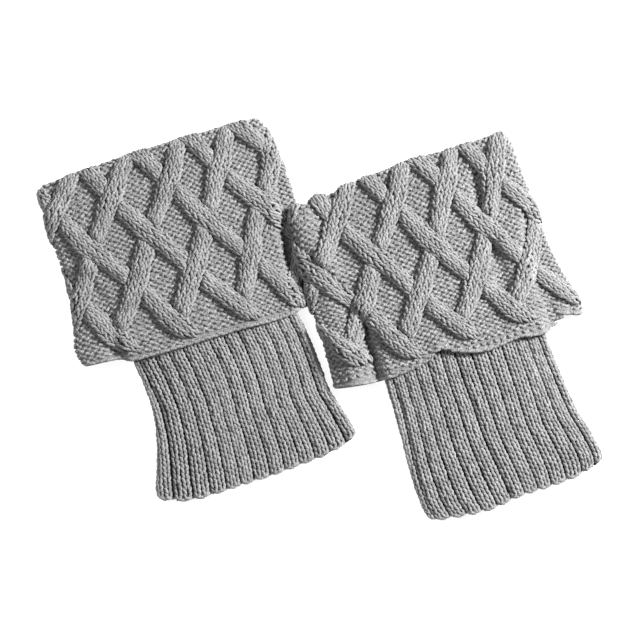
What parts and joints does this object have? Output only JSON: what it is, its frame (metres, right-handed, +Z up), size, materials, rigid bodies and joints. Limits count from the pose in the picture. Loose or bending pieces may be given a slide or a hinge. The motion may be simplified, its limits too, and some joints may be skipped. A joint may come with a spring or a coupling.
{
  "type": "pair of knitted boot cuffs",
  "caption": "Pair of grey knitted boot cuffs lying flat side by side, each a ribbed tube with a turned-down cable-knit top.",
  "frame": {"origin": "middle of the pair's footprint, on the surface that it lies on", "axes": "+X along the pair, from the left cuff to the right one; +Y towards the folded tops; +Z up, out of the surface"},
  "size_m": [0.3392, 0.2407, 0.0157],
  "materials": {
    "cable_knit": "matte marled grey wool blend, cables on a purl ground, slightly fuzzy",
    "rib_knit": "matte marled grey wool blend in a two by two rib, slightly fuzzy"
  },
  "bodies": {
    "root": {"left_cable_flap": "cable_knit", "left_rib_tube": "rib_knit", "right_cable_flap": "cable_knit", "right_rib_tube": "rib_knit"}
  },
  "joints": []
}
